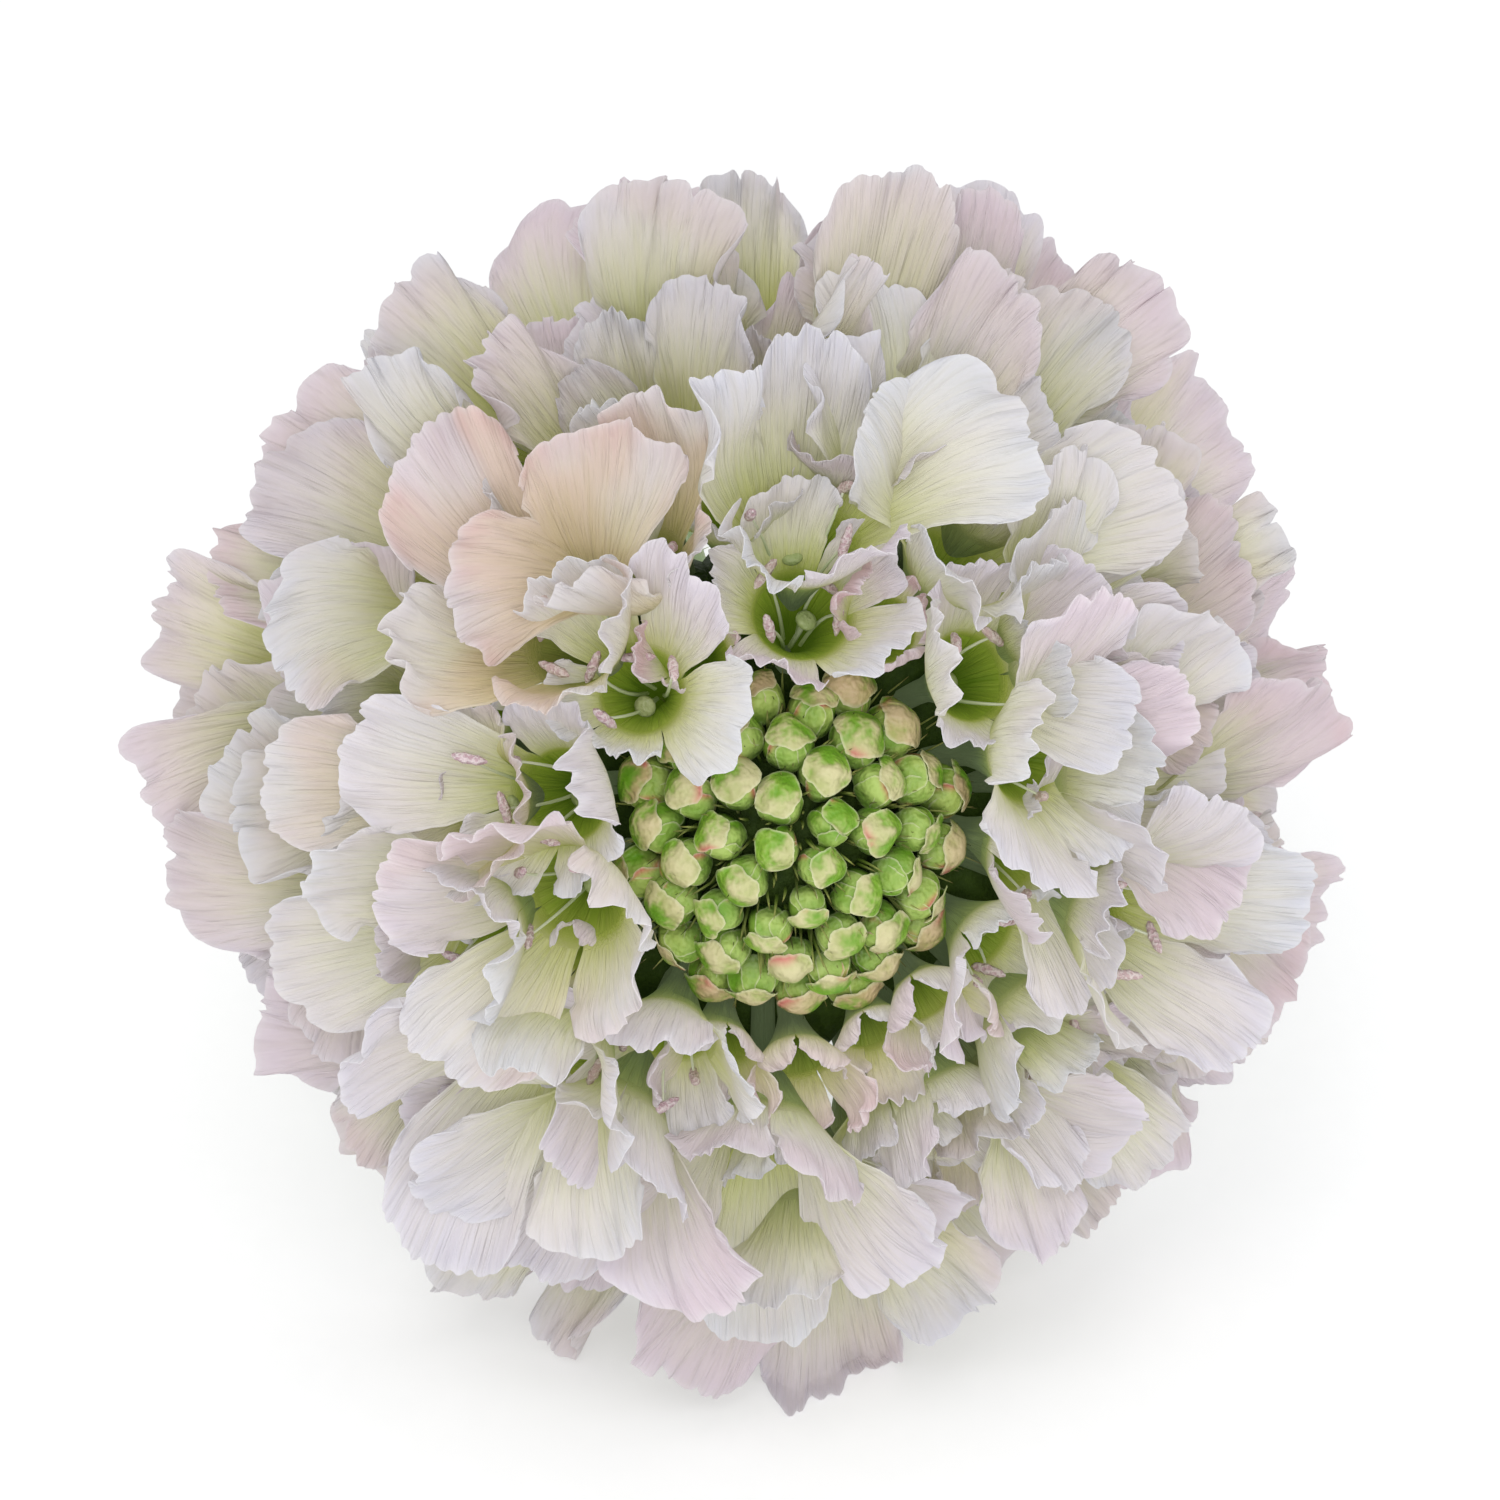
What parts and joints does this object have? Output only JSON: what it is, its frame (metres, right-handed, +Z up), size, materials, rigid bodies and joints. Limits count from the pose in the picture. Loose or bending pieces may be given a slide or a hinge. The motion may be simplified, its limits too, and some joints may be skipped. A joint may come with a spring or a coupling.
{
  "type": "scabiosa flower",
  "caption": "Cut scabiosa flower lying down: a double head of pale ruffled florets round a dome of green buds, with a ring of bracts and a slim bare stem.",
  "frame": {"origin": "middle of the bounding box, on the surface that the flower lies on", "axes": "+Z up; the stem runs back along +Y to its cut end; the head faces -Y and a little up; +X is to the right seen from the front of the head"},
  "size_m": [0.0578, 0.1166, 0.0589],
  "materials": {
    "petals": "satin",
    "bud_green": "satin",
    "bract_green": "matte",
    "stem_green": "satin"
  },
  "bodies": {
    "root": {"florets": "petals", "buds": "bud_green", "involucre": "bract_green", "stem": "stem_green"}
  },
  "joints": []
}
